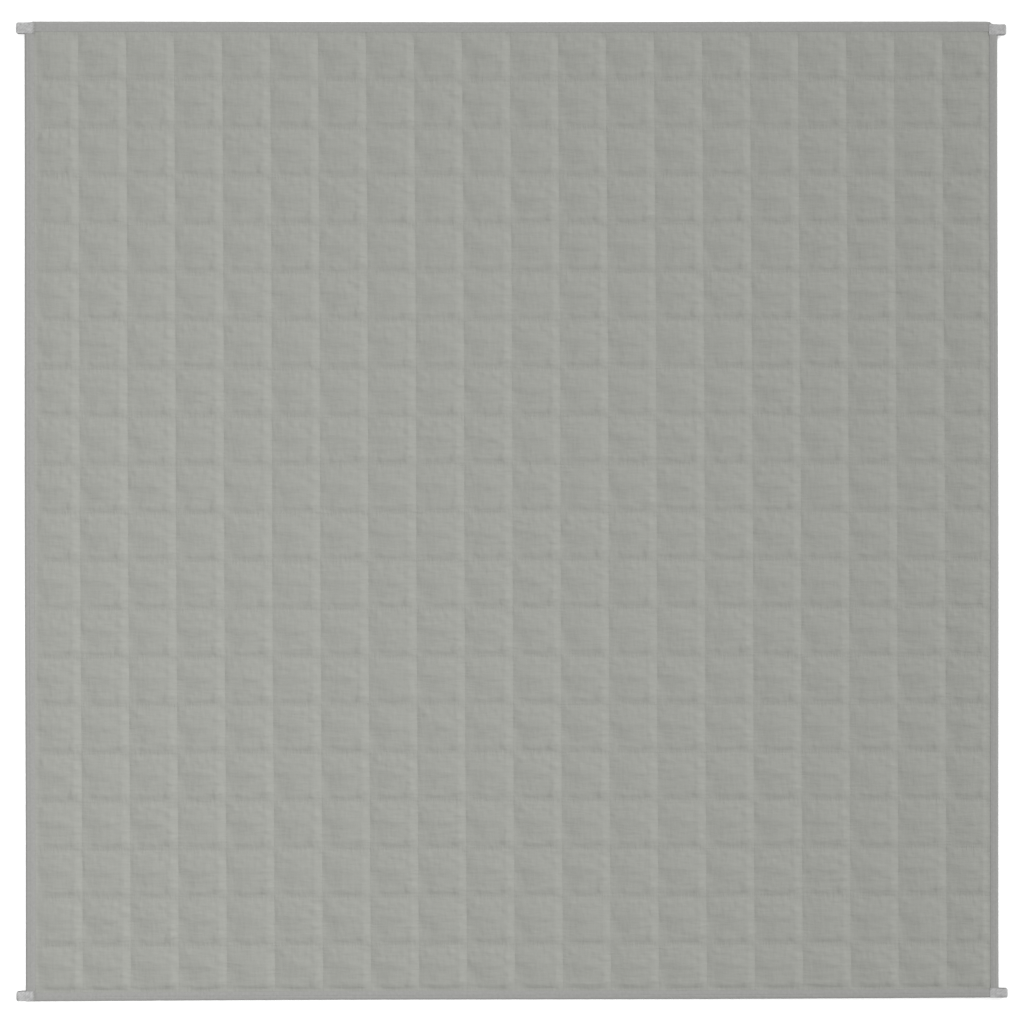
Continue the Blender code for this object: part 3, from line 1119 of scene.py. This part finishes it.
def sew_loop(corner):
    """The folded tape of one corner loop, over the corner and out past the side edge."""
    size = LOOPS[corner]
    path = loop_path(size["seat"], size["reach"])
    head = corner.startswith("top")
    right = corner.endswith("right")
    inwards = size["setback"] + size["width"] / 2
    middle_y = LENGTH / 2 - inwards if head else inwards - LENGTH / 2
    edge_x, edge_y = lie((1 if right else -1) * WIDTH / 2, middle_y)
    square = size["reach"] - TAPE / 2 - LOOP_CORNER

    def place(along, out, up):
        past = np.clip(out - square, 0, LOOP_CORNER)
        drawn_in = LOOP_CORNER - np.sqrt(LOOP_CORNER**2 - past**2)
        aside = (2 * along - 1) * (size["width"] / 2 - drawn_in)
        crown = LOOP_CROWN * (1 - np.abs(2 * along - 1) ** 2.5) * smooth_step(up, SEAM_LOW, SEAM_HIGH)
        crown = crown * smooth_step(out + size["seat"], 0.0, LOOP_CROWN_EASE)
        turn = 1 if right else -1
        return edge_x + turn * out, edge_y + turn * aside, up + crown

    tape = lay_tape("corner_loop_tape_" + corner, path, LOOP_STATIONS, place, LOOP_THICKNESS)
    return tape, (size["width"], path_length(path))


class BLANKET_OT_sew_loops(bpy.types.Operator):
    """Sews a folded twill tape over each corner"""

    bl_idname = "blanket.sew_loops"
    bl_label = "Sew the Corner Loops"

    def execute(self, context):
        tapes = context.scene.blanket_tapes
        material = woven_tape(
            "cotton_twill_tape", tapes.loop_colour, tapes.binding_colour, 0.0042, 0.6, True
        )
        for corner in LOOPS:
            tape, flat = sew_loop(corner)
            finish_piece(tape, material, "corner_loop_" + corner)
        return {"FINISHED"}


# --- the stage -------------------------------------------------------------------------------


def add_light(kind, name, place, aim, energy, **settings):
    """A light at a place that points at another."""
    light = bpy.data.lights.new(name, kind)
    light.energy = energy
    for key, value in settings.items():
        setattr(light, key, value)
    lamp = bpy.data.objects.new(name, light)
    bpy.context.scene.collection.objects.link(lamp)
    lamp.location = place
    away = Vector(place) - Vector(aim)
    lamp.rotation_euler = away.to_track_quat("Z", "Y").to_euler()
    lamp.visible_camera = False
    return lamp


class BLANKET_OT_set_stage(bpy.types.Operator):
    """Puts down the floor and sets up the lights and the camera"""

    bl_idname = "blanket.set_stage"
    bl_label = "Set the Stage"

    def execute(self, context):
        stage = context.scene.blanket_stage
        deselect_all()
        place = (0, 0, -FLOOR_DROP)
        bpy.ops.mesh.primitive_plane_add(size=FLOOR_SIZE, location=place)
        floor = context.object
        floor.name = floor.data.name = "paper_floor"
        floor.data.transform(floor.matrix_world)
        floor.location = (0, 0, 0)
        floor.data.materials.append(matt_paper(stage.floor_colour))

        world = bpy.data.worlds.new("studio")
        world.use_nodes = True
        background = world.node_tree.nodes["Background"]
        background.inputs["Color"].default_value = (1, 1, 1, 1)
        background.inputs["Strength"].default_value = stage.sky
        context.scene.world = world

        add_light("AREA", "overhead", (-1.4, -0.45, 4.2), (-1.4, -0.45, 0), stage.overhead, size=2.0)
        # Low and from the upper right, so that it brings out the pockets
        add_light("SUN", "key", (3.7, 2.6, 2.05), (0, 0, 0), stage.key, angle=math.radians(16))

        lens = bpy.data.cameras.new("camera")
        lens.lens = stage.lens
        lens.sensor_width = 36
        camera = bpy.data.objects.new("camera", lens)
        context.scene.collection.objects.link(camera)
        distance = stage.view_width * stage.lens / lens.sensor_width
        x, y = VIEW_SHIFT
        camera.location = (x + PLACE[0], y + PLACE[1], distance + VIEW_HEIGHT)
        context.scene.camera = camera
        context.scene.view_settings.view_transform = "Standard"
        return {"FINISHED"}


class BLANKET_PT_panel(bpy.types.Panel):
    """The blanket's sizes, colours and steps"""

    bl_label = "Weighted Blanket"
    bl_idname = "BLANKET_PT_panel"
    bl_space_type = "VIEW_3D"
    bl_region_type = "UI"
    bl_category = "Blanket"

    def draw(self, context):
        layout = self.layout
        for group in (
            context.scene.blanket_cloth,
            context.scene.blanket_tapes,
            context.scene.blanket_stage,
        ):
            box = layout.box()
            for name in group.bl_rna.properties.keys():
                if name not in ("rna_type", "name"):
                    box.prop(group, name)
        for operator in OPERATORS:
            layout.operator(operator.bl_idname)


GROUPS = {
    "blanket_cloth": BlanketCloth,
    "blanket_tapes": BlanketTapes,
    "blanket_stage": BlanketStage,
}
OPERATORS = (
    BLANKET_OT_quilt_body,
    BLANKET_OT_bind_edges,
    BLANKET_OT_sew_loops,
    BLANKET_OT_set_stage,
)


def register():
    for name, group in GROUPS.items():
        bpy.utils.register_class(group)
        setattr(bpy.types.Scene, name, bpy.props.PointerProperty(type=group))
    for operator in OPERATORS:
        bpy.utils.register_class(operator)
    bpy.utils.register_class(BLANKET_PT_panel)


def unregister():
    bpy.utils.unregister_class(BLANKET_PT_panel)
    for operator in reversed(OPERATORS):
        bpy.utils.unregister_class(operator)
    for name, group in GROUPS.items():
        delattr(bpy.types.Scene, name)
        bpy.utils.unregister_class(group)


def main():
    register()
    bpy.ops.blanket.quilt_body()
    bpy.ops.blanket.bind_edges()
    bpy.ops.blanket.sew_loops()
    bpy.ops.blanket.set_stage()


if __name__ == "__main__":
    main()
